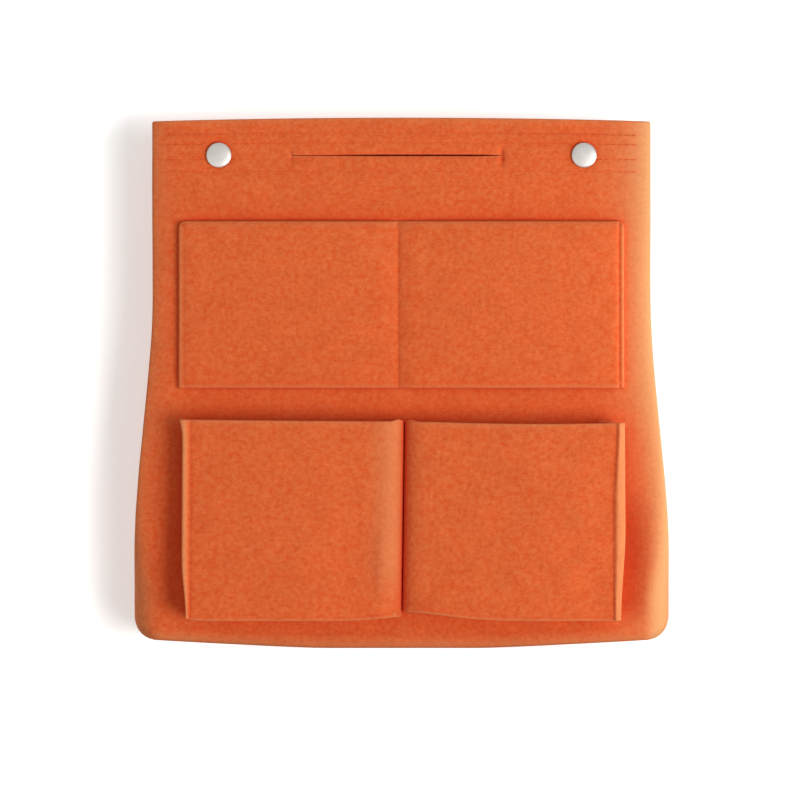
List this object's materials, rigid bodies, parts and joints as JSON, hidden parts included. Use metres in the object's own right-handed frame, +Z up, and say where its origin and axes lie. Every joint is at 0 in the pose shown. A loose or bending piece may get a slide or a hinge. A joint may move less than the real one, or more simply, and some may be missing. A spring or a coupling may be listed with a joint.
{
  "type": "bag organizer insert",
  "caption": "Upright felt caddy for a handbag with V-fold sides, a hand slot, a press-stud mouth, a flat sewn pocket panel and box pockets that stand proud of its front.",
  "frame": {"origin": "on the underside of the base, in the middle of its flat part", "axes": "+Z up towards the mouth, -Y out of the front with the pockets, +X to the right as seen from the front"},
  "size_m": [0.266, 0.063, 0.264],
  "materials": {
    "orange_felt": "matt pressed wool felt, 3 mm",
    "sewing_thread": "matt polyester sewing thread in the felt's colour",
    "satin_nickel": "satin nickel plate"
  },
  "bodies": {
    "base": {"base_panel": "orange_felt", "left_side_gusset": "orange_felt", "right_side_gusset": "orange_felt"},
    "front": {"front_panel": "orange_felt", "front_facing": "orange_felt", "upper_pocket_panel": "orange_felt", "pocket_centre_pleat": "orange_felt", "left_pocket_floor": "orange_felt", "left_pocket_gusset": "orange_felt", "right_pocket_floor": "orange_felt", "right_pocket_gusset": "orange_felt", "left_snap_cap": "satin_nickel", "left_snap_socket": "satin_nickel", "left_snap_spring": "satin_nickel", "right_snap_cap": "satin_nickel", "right_snap_socket": "satin_nickel", "right_snap_spring": "satin_nickel"},
    "left_pocket": {"left_pocket_front": "orange_felt"},
    "right_pocket": {"right_pocket_front": "orange_felt"},
    "back": {"back_panel": "orange_felt", "back_facing": "orange_felt", "left_snap_stud": "satin_nickel", "left_snap_post": "satin_nickel", "right_snap_stud": "satin_nickel", "right_snap_post": "satin_nickel"}
  },
  "joints": [
    {"name": "front_fold", "type": "hinge", "parent": "base", "child": "front", "pos_m": [0, -0.0215, 0.0015], "axis": [1, 0, 0], "range_deg": [0, 3.6], "deforming": ["left_side_gusset", "right_side_gusset"]},
    {"name": "back_fold", "type": "hinge", "parent": "base", "child": "back", "pos_m": [0, 0.0215, 0.0015], "axis": [-1, 0, 0], "range_deg": [0, 3.6], "deforming": ["left_side_gusset", "right_side_gusset"]},
    {"name": "left_pocket_fold", "type": "hinge", "parent": "front", "child": "left_pocket", "pos_m": [0, -0.037, 0.0165], "axis": [1, 0, 0], "range_deg": [-4.5, 2.9], "deforming": ["left_pocket_gusset", "pocket_centre_pleat"]},
    {"name": "right_pocket_fold", "type": "hinge", "parent": "front", "child": "right_pocket", "pos_m": [0, -0.037, 0.0165], "axis": [1, 0, 0], "range_deg": [-4.5, 2.9], "deforming": ["right_pocket_gusset", "pocket_centre_pleat"]}
  ]
}
